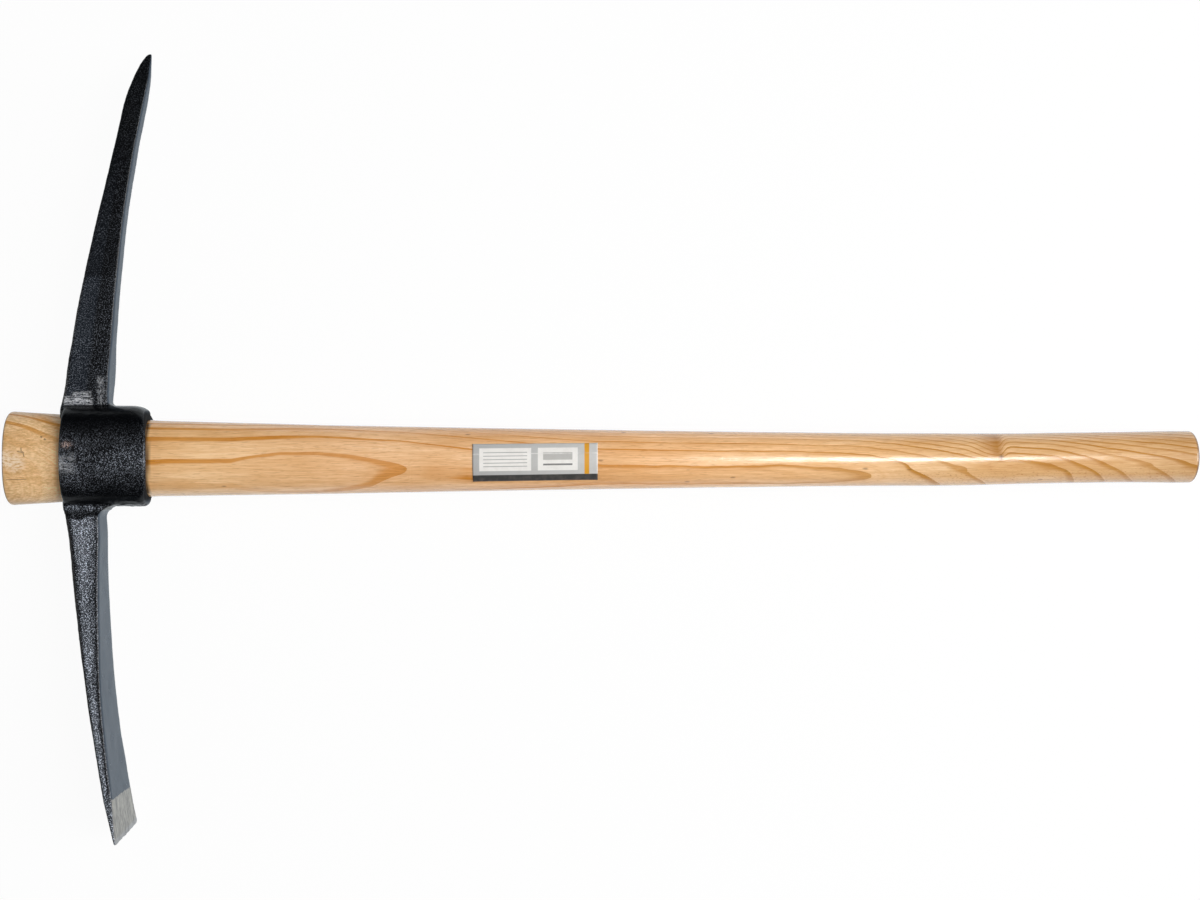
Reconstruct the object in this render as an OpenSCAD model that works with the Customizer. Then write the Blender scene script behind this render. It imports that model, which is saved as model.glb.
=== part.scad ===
// Pick axe with a slip-on forged head, which has a pick and a narrow chisel, on a flared wooden handle.
// The tool lies flat. +X runs along the handle to the grip, +Y points to the pick and +Z is up.
// The origin is on the ground under the middle of the tool's box. Lengths are in millimetres.

/* [Handle] */
// Length of the handle
handle_l = 900; // [760:5:1000]
// Width of the flared head end, in the plane of the arms
flare_w = 71.6; // [66:0.2:76]
// Depth of the flared head end, across the plane of the arms
flare_d = 47; // [45:0.5:52]
// Width of the neck, just past the eye
neck_w = 57.8; // [52:0.2:61]
// Depth of the neck, just past the eye
neck_d = 43; // [41:0.5:44.5]
// Length of handle between the eye and the end of the flare
neck_run = 5; // [2:0.5:12]
// Diameter of the round grip
grip_d = 38.5; // [34:0.5:40]
// Length of the straight grip
grip_l = 110; // [60:5:180]
// Height of the shoulder where the shaved taper meets the turned grip
grip_step = 0.15; // [0.1:0.05:1]
// Curve of the thinning from the neck to the grip, where 1 is straight
taper_power = 1.5; // [1.1:0.1:2]
// Rounding of the edge of the head end
flare_round = 3.5; // [2:0.5:12]
// Rounding of the edge of the butt
butt_round = 2.5; // [1:0.5:8]

/* [Eye of the head] */
// Length of handle that stands out past the eye at the head end
eye_setback = 43; // [20:1:60]
// Length of the eye along the handle, at its cheeks
eye_l = 65; // [54:0.5:90]
// Distance by which the eye's grip end draws back to both arms
mouth_bow = 4; // [0:0.5:6]
// Thickness of the eye's wall beside the handle
cheek_wall = 5.5; // [4:0.5:9]
// Thickness of the eye's wall under the pick
pick_wall = 6.7; // [5:0.1:12]
// Thickness of the eye's wall under the chisel
chisel_wall = 2.4; // [2:0.1:10]
// Play between the handle and the eye at its head end
seat_gap = 0.3; // [0.2:0.05:0.8]
// Play between the handle and the eye at its grip end
mouth_gap = 0.8; // [0.3:0.1:1.6]
// Rounding of the eye's edge at its head end
seat_rim = 1.5; // [0.5:0.25:2.5]
// Rounding of the eye's grip end, on the chisel's side
mouth_rim = 5; // [1:0.5:6]
// Rounding of the eye's grip end, at its cheeks
cheek_rim = 2; // [0.5:0.5:4]
// Height of the rounded top corner of the eye's grip end, on the pick's side
crown_h = 6; // [2:0.5:12]
// Length of that rounded corner along the handle
crown_l = 12; // [3:0.5:25]
// Rounding of the long edges of both arms
edge_round = 1.8; // [0.5:0.1:3]

/* [Pick] */
// Reach of the point from the handle's axis
pick_reach = 309; // [240:1:360]
// Width of the arm at the eye, along the handle
pick_root_w = 33; // [24:0.5:40]
// Length by which the arm stands out past the eye's head end
pick_proud = 1; // [0.5:0.5:4]
// Distance by which the arm's outer edge flares out to the eye
pick_flare = 3.3; // [0:0.1:5]
// Length of that flare along the arm
pick_flare_l = 22; // [5:1:40]
// Thickness of the arm at the eye
pick_root_t = 14; // [12:0.5:22]
// Thickness that the arm gains where it swells past the eye
pick_swell = 5.5; // [0:0.5:8]
// Distance from the handle's axis to the middle of the swelling
pick_swell_s = 64; // [50:1:90]
// Half the length of the swelling along the arm
pick_swell_l = 30; // [15:1:45]
// Width of the arm before its point
pick_end_w = 16; // [11:0.5:20]
// Thickness of the arm before its point
pick_end_t = 12; // [9:0.5:14]
// Distance from the handle's axis to the start of the arm's thinning
pick_shoulder = 42; // [40:1:90]
// Length of the point
pick_point_l = 47; // [30:1:80]
// Width of the blunt tip
pick_tip_w = 2; // [1:0.5:5]
// Distance by which the arm curves back to the grip
pick_droop = 35; // [10:1:60]
// Distance by which the tip lies off the arm's inner curve
pick_tip_set = 2; // [0:0.5:8]
// Fillet between the arm and the eye
pick_fillet = 3; // [1:0.5:8]

/* [Chisel] */
// Reach of the cutting edge from the handle's axis
chisel_reach = 289; // [230:1:340]
// Width of the arm at the eye, along the handle
chisel_root_w = 26.6; // [18:0.2:34]
// Length by which the arm stands out past the eye's head end
chisel_proud = 0.8; // [0.4:0.2:4]
// Thickness of the arm at the eye
chisel_root_t = 21.5; // [16:0.5:26]
// Width of the blade at its cutting edge
blade_w = 52.5; // [50:0.5:56]
// Thickness of the blade where its ground end starts
blade_t = 7.5; // [4:0.1:9]
// Thickness of the cutting edge
edge_t = 1.4; // [0.8:0.1:3]
// Length of the ground end
ground_l = 32; // [20:1:60]
// Length of the straight middle of the cutting edge
edge_flat = 47; // [30:1:49]
// Depth of the rounded corners of the cutting edge
edge_bow = 2; // [1:0.5:10]
// Distance from the handle's axis to the start of the blade's curve
chisel_bend = 80; // [60:1:140]
// Distance by which the blade curves back to the grip
chisel_droop = 20.5; // [5:0.5:40]
// Fillet between the arm and the eye
chisel_fillet = 10; // [2:0.5:14]

/* [Label] */
// Distance from the head end to the label
label_x = 353; // [180:1:420]
// Length of the label
label_l = 94; // [40:1:120]
// Height of the label, round the handle
label_h = 27.5; // [15:0.5:40]
// Turn of the label's middle about the handle, from the top to the pick's side
label_turn = -5.5; // [-40:0.5:40]
// Thickness of the label
label_t = 0.2; // [0.1:0.05:0.5]
// Thickness of the glue under the label
glue_t = 0.1; // [0.05:0.05:0.3]

/* [Hidden] */

// Sides of an oval ring
ring_sides = 48;
// Rings along the thinning of the handle
taper_rings = 20;
// Rings along each arm, its point or its ground end
arm_rings = 16;
point_rings = 10;
// Rings round a fillet
fillet_rings = 5;
// Columns and rings of the label
label_columns = 12;
label_rings = 8;
// Power of the curve by which the tip of the pick thins
tip_thin_power = 1.6;
// Power of the curve by which the chisel's width falls
chisel_thin_power = 1.42;
// Power of the curve by which the blade widens
blade_spread_power = 1.15;
// Share of the grinding that is on the blade's inner face
ground_share = 0.5;
// Least width of the flat left on the eye's grip end, and least overrun of the eye's cut
least_rim = 1;
// Share of a section's size that its rounded corner may take
corner_share = 0.45;
// Turn between the points of a rounded corner of an arm, and of the butt's edge
corner_step = 45;
butt_step = 15;

// The flare ends past the eye, and the taper ends where the round grip starts
eye_end = eye_setback + eye_l;
neck_x = eye_end + neck_run;
grip_x = handle_l - grip_l;
taper_end_d = grip_d + 2 * grip_step;
// The arms start inside the eye's hole, which cuts them to the eye's wall
arm_start = neck_w / 4;
// The eye's hole is cut through the arms that stand past its head end
eye_cut_start = eye_setback - max(pick_proud + pick_flare, chisel_proud) - least_rim;

function mix(a, b, t) = a + (b - a) * t;
function share(x, from, to) = min(1, max(0, (x - from) / (to - from)));
function ease(t) = t * t * (3 - 2 * t);
function arc(t) = sqrt(1 - t * t);
// A smooth bump of height 1, which ends at a distance of l on both sides of its middle
function bump(x, middle, l) = (1 + cos(180 * min(1, abs(x - middle) / l))) / 2;

// How far an edge has drawn in at depth d behind its face, if it rounds by r over a length of l
function rounded(d, r, l) = d >= l ? 0 : r - r * arc(1 - max(0, d) / l);
function drawn_in(d, r) = rounded(d, r, r);

// Depths behind a face at which the rings of an edge rounded by r stand
function edge_depths(r) = [for (i = [0:fillet_rings]) r * (1 - cos(90 * i / fillet_rings))];

// Half the handle's size at x, for its width or for its depth
function handle_half(x, flare, neck) =
    x < neck_x
        ? mix(flare, neck, x / neck_x) / 2
        : mix(taper_end_d, neck, pow(1 - share(x, neck_x, grip_x), taper_power)) / 2;
function half_w(x) = handle_half(x, flare_w, neck_w);
function half_d(x) = handle_half(x, flare_d, neck_d);

// The eye's outside is set by its walls round the handle at its wide end
collar_up = half_w(eye_setback) + seat_gap + pick_wall;
collar_down = half_w(eye_setback) + seat_gap + chisel_wall;
collar_side = half_d(eye_setback) + seat_gap + cheek_wall;
mouth_half_w = half_w(eye_end) + mouth_gap;
mouth_half_d = half_d(eye_end) + mouth_gap;
crown = min(crown_h, collar_up - mouth_half_w - least_rim);
rim = min(mouth_rim, collar_down - mouth_half_w - least_rim);
side_rim = min(cheek_rim, collar_side - mouth_half_d - least_rim);

// The tool lies on its widest piece, with the middle of its box over the origin
rest_half = max(collar_side, blade_w / 2);
box_middle = [handle_l / 2, (pick_reach - chisel_reach) / 2, -rest_half];

// An oval ring square to the handle, with its own reach up, down and to the sides
function oval(x, up, down, side) = [
    for (i = [0:ring_sides - 1])
        let (turn = 360 * i / ring_sides)
        [x, sin(turn) * (sin(turn) > 0 ? up : down), side * cos(turn)]
];

// A rounded rectangle square to an arm at distance s from the handle, thick across the arm's plane
function arm_ring(s, outer, inner, thick) =
    let (r = min(edge_round, corner_share * min(inner - outer, thick)))
    let (high = thick / 2 - r)
    let (corners = [[inner - r, high], [outer + r, high], [outer + r, -high], [inner - r, -high]])
    [
        for (i = [0:3], turn = [0:corner_step:90])
            let (way = 90 * i + turn)
            [corners[i][0] + r * cos(way), s, corners[i][1] + r * sin(way)]
    ];

function plain_cap(n) = [[for (i = [0:n - 1]) i]];
function strip_cap(n) = [for (i = [0:n / 2 - 2]) [i, i + 1, n - 2 - i, n - 1 - i]];
function turned(face) = [for (i = [len(face) - 1:-1:0]) face[i]];
function raised(face, step) = [for (i = face) i + step];

// A closed skin over rings of equal count, with the first and last ring capped
module loft(rings, cap) {
    n = len(rings[0]);
    last = (len(rings) - 1) * n;
    sides = [
        for (start = [0:n:last - n], i = [0:n - 1])
            let (a = start + i, b = start + (i + 1) % n)
            each [[a, b, b + n], [a, b + n, a + n]]
    ];
    ends = [for (face = cap) each [turned(face), raised(face, last)]];
    polyhedron([for (ring = rings) each ring], concat(sides, ends));
}

module lie_flat() {
    translate(-box_middle) children();
}

// The wooden handle

function handle_ring(x) =
    let (edge = drawn_in(x, flare_round))
    oval(x, half_w(x) - edge, half_w(x) - edge, half_d(x) - edge);

module flare_and_taper() {
    stations = concat(
        edge_depths(flare_round),
        [for (i = [0:taper_rings]) mix(neck_x, grip_x, i / taper_rings)]
    );
    loft([for (x = stations) handle_ring(x)], plain_cap(ring_sides));
}

module grip() {
    r = grip_d / 2;
    butt_edge = [
        for (turn = [0:butt_step:90])
            [r - butt_round * (1 - cos(turn)), grip_l - butt_round * (1 - sin(turn))]
    ];
    translate([grip_x, 0, 0])
        rotate([0, 90, 0])
            rotate_extrude($fn = 96)
                polygon(concat([[0, 0], [r, 0]], butt_edge, [[0, grip_l]]));
}

module handle() {
    color("burlywood")
        lie_flat() {
            flare_and_taper();
            grip();
        }
}

// The forged head

function collar_ring(x) =
    let (seat = drawn_in(x - eye_setback, seat_rim))
    let (top = seat + rounded(eye_end - x, crown, crown_l))
    let (bottom = seat + drawn_in(eye_end - x, rim))
    let (side = seat + drawn_in(eye_end - x, side_rim))
    let (back = mouth_bow * share(x, eye_setback, eye_end))
    [
        for (p = oval(x, collar_up - top, collar_down - bottom, collar_side - side))
            [x - back * pow(p[1] / collar_up, 2), p[1], p[2]]
    ];

module collar() {
    stations = concat(
        [for (depth = edge_depths(seat_rim)) eye_setback + depth],
        turned([for (depth = edge_depths(max(crown_l, rim))) eye_end - depth])
    );
    // The bowed grip end is closed by a flat ring that lies inside the eye's hole
    inside = oval(eye_end - mouth_bow, mouth_half_w / 2, mouth_half_w / 2, mouth_half_d / 2);
    loft(concat([for (x = stations) collar_ring(x)], [inside]), plain_cap(ring_sides));
}

function eye_ring(x) =
    let (gap = mix(seat_gap, mouth_gap, (x - eye_setback) / eye_l))
    oval(x, half_w(x) + gap, half_w(x) + gap, half_d(x) + gap);

// The eye widens to the head end, as the handle does, so that a blow drives the head home
module eye_hole() {
    loft([eye_ring(eye_cut_start), eye_ring(neck_x)], plain_cap(ring_sides));
}

// Stations of an arm: from inside the eye, round the fillet, along the arm and along its end
function arm_stations(root, fillet, end_start, reach) = concat(
    [arm_start, root - fillet],
    [for (depth = edge_depths(fillet)) root + depth],
    [for (i = [1:arm_rings]) mix(root + fillet, end_start, i / arm_rings)],
    [for (i = [1:point_rings]) mix(end_start, reach, sin(90 * i / point_rings))]
);

// The fillet on an arm's faces starts lower than on its edge, because the eye is oval
function face_root(root, thick) = root * arc(min(1, thick / 2 / collar_side));

function pick_ring(s) =
    let (point = share(s, pick_reach - pick_point_l, pick_reach))
    let (along = share(s, pick_shoulder, pick_reach - pick_point_l))
    let (body_w = mix(pick_root_w, pick_end_w, ease(along)))
    let (body_t = mix(pick_root_t, pick_end_t, along) + pick_swell * bump(s, pick_swell_s, pick_swell_l))
    let (wide = mix(pick_tip_w, body_w, arc(point)))
    let (thick = mix(pick_tip_w, body_t, 1 - pow(point, tip_thin_power)))
    let (curve = pow(s / pick_reach, 2) - pow(collar_up / pick_reach, 2))
    let (inner = eye_setback - pick_proud + pick_root_w + pick_droop * max(0, curve)
        - pick_tip_set * pow(point, 3))
    let (flare = pick_flare * pow(1 - share(s, collar_up, collar_up + pick_flare_l), 2))
    let (edge_fillet = drawn_in(s - collar_up, pick_fillet))
    let (face_fillet = drawn_in(s - face_root(collar_up, thick), pick_fillet))
    arm_ring(s, inner - wide - flare, inner + edge_fillet, thick + 2 * face_fillet);

module pick_arm() {
    stations = arm_stations(collar_up, pick_fillet, pick_reach - pick_point_l, pick_reach);
    loft([for (s = stations) pick_ring(s)], plain_cap(len(pick_ring(0))));
}

function chisel_ring(s) =
    let (ground_start = chisel_reach - ground_l)
    let (along = share(s, collar_down, ground_start))
    let (body_w = mix(blade_t, chisel_root_w, pow(1 - along, chisel_thin_power)))
    let (wide = mix(body_w, edge_t, share(s, ground_start, chisel_reach)))
    let (spread = pow(share(s, collar_down, chisel_reach), blade_spread_power))
    let (corner = arc(share(s, chisel_reach - edge_bow, chisel_reach)))
    let (thick = mix(chisel_root_t, mix(edge_flat, blade_w, corner), spread))
    let (inner = eye_setback - chisel_proud + chisel_root_w
        + chisel_droop * pow(share(s, chisel_bend, chisel_reach), 2)
        - ground_share * (body_w - wide))
    let (edge_fillet = drawn_in(s - collar_down, chisel_fillet))
    let (face_fillet = rounded(s - face_root(collar_down, thick), chisel_fillet / 2, chisel_fillet))
    arm_ring(s, inner - wide, inner + edge_fillet, thick + 2 * face_fillet);

module chisel_arm() {
    stations = arm_stations(collar_down, chisel_fillet, chisel_reach - ground_l, chisel_reach);
    mirror([0, 1, 0])
        loft([for (s = stations) chisel_ring(s)], plain_cap(len(chisel_ring(0))));
}

module pick_head() {
    color([0.11, 0.12, 0.13])
        lie_flat()
            difference() {
                union() {
                    collar();
                    pick_arm();
                    chisel_arm();
                }
                eye_hole();
            }
}

// The label, a curved strip of film that lies on the handle

function label_row(x, lift) =
    let (half_turn = label_h / (half_w(x) + half_d(x)) * 180 / PI)
    [
        for (i = [0:label_columns])
            let (turn = label_turn + mix(-half_turn, half_turn, i / label_columns))
            [x, (half_w(x) + lift) * sin(turn), (half_d(x) + lift) * cos(turn)]
    ];

module label() {
    stations = [for (i = [0:label_rings]) label_x + label_l * i / label_rings];
    rings = [for (x = stations) concat(label_row(x, glue_t + label_t), turned(label_row(x, glue_t)))];
    color("silver")
        lie_flat()
            loft(rings, strip_cap(len(rings[0])));
}

handle();
pick_head();
label();
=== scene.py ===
"""Pick axe: a forged head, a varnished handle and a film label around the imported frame."""

import math

import bpy
import numpy as np
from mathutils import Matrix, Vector, noise


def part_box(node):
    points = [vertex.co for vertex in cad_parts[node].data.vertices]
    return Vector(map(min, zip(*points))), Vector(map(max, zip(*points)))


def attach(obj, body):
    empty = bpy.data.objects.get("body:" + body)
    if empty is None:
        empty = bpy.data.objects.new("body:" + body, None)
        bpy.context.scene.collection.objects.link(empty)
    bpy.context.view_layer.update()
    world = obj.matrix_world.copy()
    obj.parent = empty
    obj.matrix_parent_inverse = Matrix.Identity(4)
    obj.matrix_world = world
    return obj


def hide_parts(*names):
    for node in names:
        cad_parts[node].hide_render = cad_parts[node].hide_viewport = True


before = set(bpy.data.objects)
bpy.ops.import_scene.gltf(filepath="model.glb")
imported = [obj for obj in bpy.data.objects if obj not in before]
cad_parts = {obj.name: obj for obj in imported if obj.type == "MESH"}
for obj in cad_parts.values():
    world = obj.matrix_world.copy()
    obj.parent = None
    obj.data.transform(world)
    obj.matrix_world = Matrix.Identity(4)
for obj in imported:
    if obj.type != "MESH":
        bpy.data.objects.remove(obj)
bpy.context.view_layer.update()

# Sizes of the part, in millimetres from the middle of the handle's head end

MM = 0.001
HANDLE_L = 900.0
FLARE_W, FLARE_D = 71.6, 47.0
NECK_W, NECK_D = 57.8, 43.0
GRIP_D, GRIP_L = 38.5, 110.0
TAPER_POWER = 1.5
FLARE_ROUND, BUTT_ROUND = 2.2, 2.6
# The flare's end is a little squarer than an ellipse
FLARE_SQUARE = 2.5

EYE_START, EYE_L, NECK_RUN = 43.0, 65.0, 5.0
EYE_END = EYE_START + EYE_L
MOUTH_BOW = 4.0
NECK_X = EYE_END + NECK_RUN
GRIP_X = HANDLE_L - GRIP_L
CHEEK_WALL, PICK_WALL, CHISEL_WALL = 5.5, 6.7, 2.4
SEAT_GAP, MOUTH_GAP = 0.3, 0.8
SEAT_RIM, MOUTH_RIM, CHEEK_RIM = 1.5, 5.0, 2.0
CROWN_H, CROWN_L = 6.0, 12.0
LEAST_RIM = 1.0
EDGE_ROUND, OUTER_ROUND = 1.8, 2.6

PICK_REACH, PICK_PROUD = 309.0, 1.0
PICK_FLARE, PICK_FLARE_L = 3.3, 22.0
PICK_ROOT_W, PICK_ROOT_T = 33.0, 14.0
PICK_SWELL, PICK_SWELL_S, PICK_SWELL_L = 5.5, 64.0, 30.0
PICK_END_W, PICK_END_T = 16.0, 12.0
PICK_SHOULDER, PICK_POINT_L = 42.0, 47.0
PICK_TIP_W, PICK_TIP_SET, PICK_TIP_POWER = 2.0, 2.8, 1.3
PICK_DROOP, PICK_FILLET = 35.0, 3.0

CHISEL_REACH, CHISEL_PROUD = 289.0, 0.8
CHISEL_ROOT_W, CHISEL_ROOT_T = 26.6, 21.5
BLADE_W, BLADE_T, EDGE_T = 52.5, 7.5, 1.4
GROUND_L, EDGE_FLAT, EDGE_BOW = 32.0, 47.0, 2.0
CHISEL_BEND, CHISEL_DROOP, CHISEL_FILLET = 80.0, 20.5, 10.0
# The eye is not quite square: its upper side stands forward and its lower mouth stands back
EYE_LEAN, MOUTH_LEAN = 1.4, 3.4
# Hammering left its outside a little squarer than an ellipse
EYE_SQUARE = 2.6
# The edge was ground a little askew: its lower corner stands back and towards the grip,
# and its middle bellies out
EDGE_SKEW, EDGE_OUT, EDGE_BELLY = 5.9, 1.0, 1.2
EDGE_SET, EDGE_TWIST = 0.45, 1.25

LABEL_X, LABEL_L, LABEL_H = 353.0, 94.0, 27.5
LABEL_TURN, LABEL_SKEW = -5.5, 1.4
LABEL_T, GLUE_T = 0.2, 0.1

handle_low, handle_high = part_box("handle")
ORIGIN = np.array([
    handle_low.x,
    (handle_low.y + handle_high.y) / 2,
    (handle_low.z + handle_high.z) / 2,
])


# Small helpers for shapes

def blend(a, b, t):
    return a + (b - a) * t


def share(x, start, end):
    return np.clip((x - start) / (end - start), 0.0, 1.0)


def ease(t):
    return t * t * (3.0 - 2.0 * t)


def rise(x, start, end):
    """0 before start, 1 after end and smooth between them."""
    return ease(share(x, start, end))


def fall(x, start, end):
    return 1.0 - rise(x, start, end)


def window(x, start, full, fade, end):
    """0 outside start and end, 1 from full to fade and smooth between them."""
    return rise(x, start, full) * fall(x, fade, end)


def read_table(x, table):
    """The value at x on straight runs between the rows of a table."""
    return np.interp(x, *np.array(table).T)


def bell(x, middle, width):
    return np.exp(-(((x - middle) / width) ** 2))


def hump(x, middle, length):
    return (1.0 + np.cos(math.pi * np.minimum(1.0, np.abs(x - middle) / length))) / 2.0


def arc(t):
    return np.sqrt(np.maximum(0.0, 1.0 - t * t))


def rounded(depth, r, length):
    """How far an edge has drawn in at a depth behind its face, if it rounds by r over a length."""
    t = 1.0 - np.clip(depth / length, 0.0, 1.0)
    return r - r * arc(t)


def drawn_in(depth, r):
    return rounded(depth, r, r)


def edge_depths(r, steps):
    turns = np.linspace(0.0, math.pi / 2, steps + 1)
    return r * (1.0 - np.cos(turns))


def wavy(points, size, seed):
    """Smooth noise from about -1 to 1 at each point, with bumps of that size."""
    places = points / np.asarray(size) + seed
    return np.array([noise.noise(Vector(place)) for place in places])


def to_row(points):
    return points * MM + ORIGIN


def to_tool(points):
    return (points - ORIGIN) / MM


def set_all(thing, **settings):
    for key, value in settings.items():
        setattr(thing, key, value)
    return thing


def add_object(name, data):
    made = bpy.data.objects.new(name, data)
    bpy.context.scene.collection.objects.link(made)
    return made


def make_object(name, points, faces):
    mesh = bpy.data.meshes.new(name)
    mesh.from_pydata(np.asarray(points).tolist(), [], faces)
    mesh.update()
    return add_object(name, mesh)


def loft(rings):
    """Points and faces of a closed skin over rings of equal count, with flat ends."""
    rings = np.asarray(rings)
    count, sides = rings.shape[:2]
    faces = []
    for row in range(count - 1):
        for i in range(sides):
            a = row * sides + i
            b = row * sides + (i + 1) % sides
            faces.append((a, b, b + sides, a + sides))
    last = (count - 1) * sides
    faces.append(tuple(range(sides - 1, -1, -1)))
    faces.append(tuple(range(last, last + sides)))
    return rings.reshape(-1, 3), faces


def oval(x, up, down, side, square=2.0, sides=160):
    """An oval ring at x: an ellipse at square 2, and fuller towards its corners above that."""
    turns = np.linspace(0.0, 2 * math.pi, sides, endpoint=False)
    reach = np.where(np.sin(turns) > 0, up, down)
    tall = np.sign(np.sin(turns)) * np.abs(np.sin(turns)) ** (2.0 / square)
    flat = np.sign(np.cos(turns)) * np.abs(np.cos(turns)) ** (2.0 / square)
    return np.stack([np.full(sides, x), reach * tall, side * flat], axis=1)


def read_points(mesh, what="co"):
    values = np.empty(len(mesh.vertices) * 3)
    mesh.vertices.foreach_get(what, values)
    return values.reshape(-1, 3)


def paint(mesh, name, values):
    """Keeps one number per point, which the material reads by name."""
    layer = mesh.attributes.new(name, "FLOAT", "POINT")
    layer.data.foreach_set("value", np.asarray(values, dtype=np.float32))


def smooth_shade(mesh):
    mesh.polygons.foreach_set("use_smooth", [True] * len(mesh.polygons))
    mesh.update()


def dress(piece, node, body, material):
    """Puts a finished piece in the place of its CAD node."""
    piece.data.materials.clear()
    piece.data.materials.append(material)
    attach(piece, body)
    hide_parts(node)


# Small helpers for materials

def srgb(r, g, b):
    """A colour as a picture shows it, from 0 to 255, as the light that a shader takes."""
    def linear(c):
        c = c / 255.0
        return c / 12.92 if c <= 0.04045 else ((c + 0.055) / 1.055) ** 2.4
    return (linear(r), linear(g), linear(b), 1.0)


WHITE = (1.0, 1.0, 1.0, 1.0)


class Graph:
    """Builds one node tree. An input that is a socket is linked, and any other is set."""

    def __init__(self, tree):
        self.tree = tree
        tree.nodes.clear()

    def node(self, kind, inputs=None, **settings):
        made = set_all(self.tree.nodes.new("ShaderNode" + kind), **settings)
        for key, value in (inputs or {}).items():
            self.feed(made.inputs[key], value)
        return made

    def feed(self, socket, value):
        if isinstance(value, bpy.types.NodeSocket):
            self.tree.links.new(value, socket)
        else:
            socket.default_value = value

    def maths(self, operation, *values, clamp=False):
        inputs = dict(enumerate(values))
        return self.node("Math", inputs, operation=operation, use_clamp=clamp).outputs[0]

    def vector(self, operation, a, b):
        second = "Scale" if operation == "SCALE" else 1
        return self.node("VectorMath", {0: a, second: b}, operation=operation).outputs[0]

    def mix(self, factor, a, b, blend_type="MIX"):
        inputs = {0: factor, 6: a, 7: b}
        return self.node("Mix", inputs, data_type="RGBA", blend_type=blend_type).outputs[2]

    def span(self, value, low, high, to_low=0.0, to_high=1.0, smooth=False):
        """Maps low..high to to_low..to_high, held at the ends."""
        inputs = dict(enumerate((value, low, high, to_low, to_high)))
        shape = "SMOOTHSTEP" if smooth else "LINEAR"
        return self.node("MapRange", inputs, interpolation_type=shape).outputs[0]

    def noise(self, place, scale, detail=2.0, roughness=0.5):
        inputs = {"Vector": place, "Scale": scale, "Detail": detail, "Roughness": roughness}
        return self.node("TexNoise", inputs).outputs[0]

    def stretched(self, place, scales, detail=2.0, roughness=0.5):
        """Noise with a scale of its own along each axis."""
        return self.noise(self.vector("MULTIPLY", place, scales), 1.0, detail, roughness)

    def times(self, first, *others):
        for value in others:
            first = self.maths("MULTIPLY", first, value)
        return first

    def scaled(self, value, factor, plus):
        return self.maths("MULTIPLY_ADD", value, factor, plus)

    def most(self, a, b):
        return self.maths("MAXIMUM", a, b)

    def flat_place(self, x, scale_x, y, scale_y):
        """A place on a plane, from two numbers and their scales."""
        inputs = {"X": self.times(x, scale_x), "Y": self.times(y, scale_y)}
        return self.node("CombineXYZ", inputs).outputs[0]

    def measure(self, operation, a, b=(0.0, 0.0, 0.0)):
        return self.node("VectorMath", {0: a, 1: b}, operation=operation).outputs["Value"]

    def stroke(self, place, start, end, width):
        """A soft straight mark from start to end, seen from above, as wide as that on each side."""
        run = (Vector(end) - Vector(start)).to_3d()
        from_start = self.vector("SUBTRACT", place, (*start, 0.0))
        along = self.measure("DOT_PRODUCT", from_start, tuple(run / run.length_squared))
        along = self.maths("ADD", along, 0.0, clamp=True)
        nearest = self.vector("SCALE", tuple(run), along)
        flat = self.vector("MULTIPLY", from_start, (1.0, 1.0, 0.0))
        away = self.measure("DISTANCE", flat, nearest)
        return self.span(away, width, 0.3 * width)

    def number(self, name):
        return self.node("Attribute", attribute_name=name).outputs["Fac"]

    def tool_place(self):
        """The point in tool millimetres, which stays with the piece when it moves."""
        place = self.node("TexCoord").outputs["Object"]
        moved = self.vector("SUBTRACT", place, tuple(ORIGIN))
        return self.vector("SCALE", moved, 1.0 / MM)

    def bump(self, height, distance_mm, strength):
        inputs = {"Height": height, "Distance": distance_mm * MM, "Strength": strength}
        return self.node("Bump", inputs).outputs[0]

    def finish(self, shader):
        self.node("OutputMaterial", {"Surface": shader.outputs[0]})

    def surface(self, inputs):
        self.finish(self.node("BsdfPrincipled", inputs))


def new_material(name):
    material = bpy.data.materials.new(name)
    material.use_nodes = True
    return material, Graph(material.node_tree)


# The wooden handle

def handle_half(x, flare, neck):
    """Half the handle's width or depth at x, with the shaved taper run out into the round grip."""
    flared = blend(flare, neck, np.clip(x / NECK_X, 0.0, 1.0)) / 2
    left = (1.0 - share(x, NECK_X, GRIP_X)) ** TAPER_POWER
    tapered = blend(GRIP_D, neck, left) / 2
    return np.where(x < NECK_X, flared, tapered)


def half_w(x):
    return handle_half(x, FLARE_W, NECK_W)


def half_d(x):
    return handle_half(x, FLARE_D, NECK_D)


# The wood has bent towards the pick along the grip and towards the chisel along the neck
BOW_GRIP, BOW_NECK = 2.0, 0.95
# It is a little thicker at its knot and at the butt
KNOT_SWELL, BUTT_SWELL = 0.45, 0.5


def bow(x):
    """How far the wood has bent towards the pick."""
    return BOW_GRIP * rise(x, 700.0, 880.0) - BOW_NECK * rise(x, 60.0, 260.0)


def swell(x):
    return KNOT_SWELL * bell(x, 712.0, 40.0) + BUTT_SWELL * rise(x, 845.0, 888.0)


HANDLE_SIDES, HANDLE_STATIONS = 160, 360
# The flat ends are rings that close in on the axis, as shares of the edge
END_RINGS = (0.95, 0.8, 0.6, 0.4, 0.2, 0.06)
SHAVING_HEIGHT = 0.11
# Grain of the handle: the layers lie square to this turn, in degrees from the top to the pick's side
GRAIN_TURNS = (
    (0, -13.5), (304, -13.5), (420, -28), (616, -37), (660, -38), (706, -44), (760, -50), (900, -55),
)
# On the chisel's side of that turn the layers follow the skin by this much
GRAIN_WRAP = ((0, 0.46), (262, 0.54), (276, 0.54), (291, 0.74), (304, 0.85), (480, 1.0), (900, 1.0))
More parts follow.
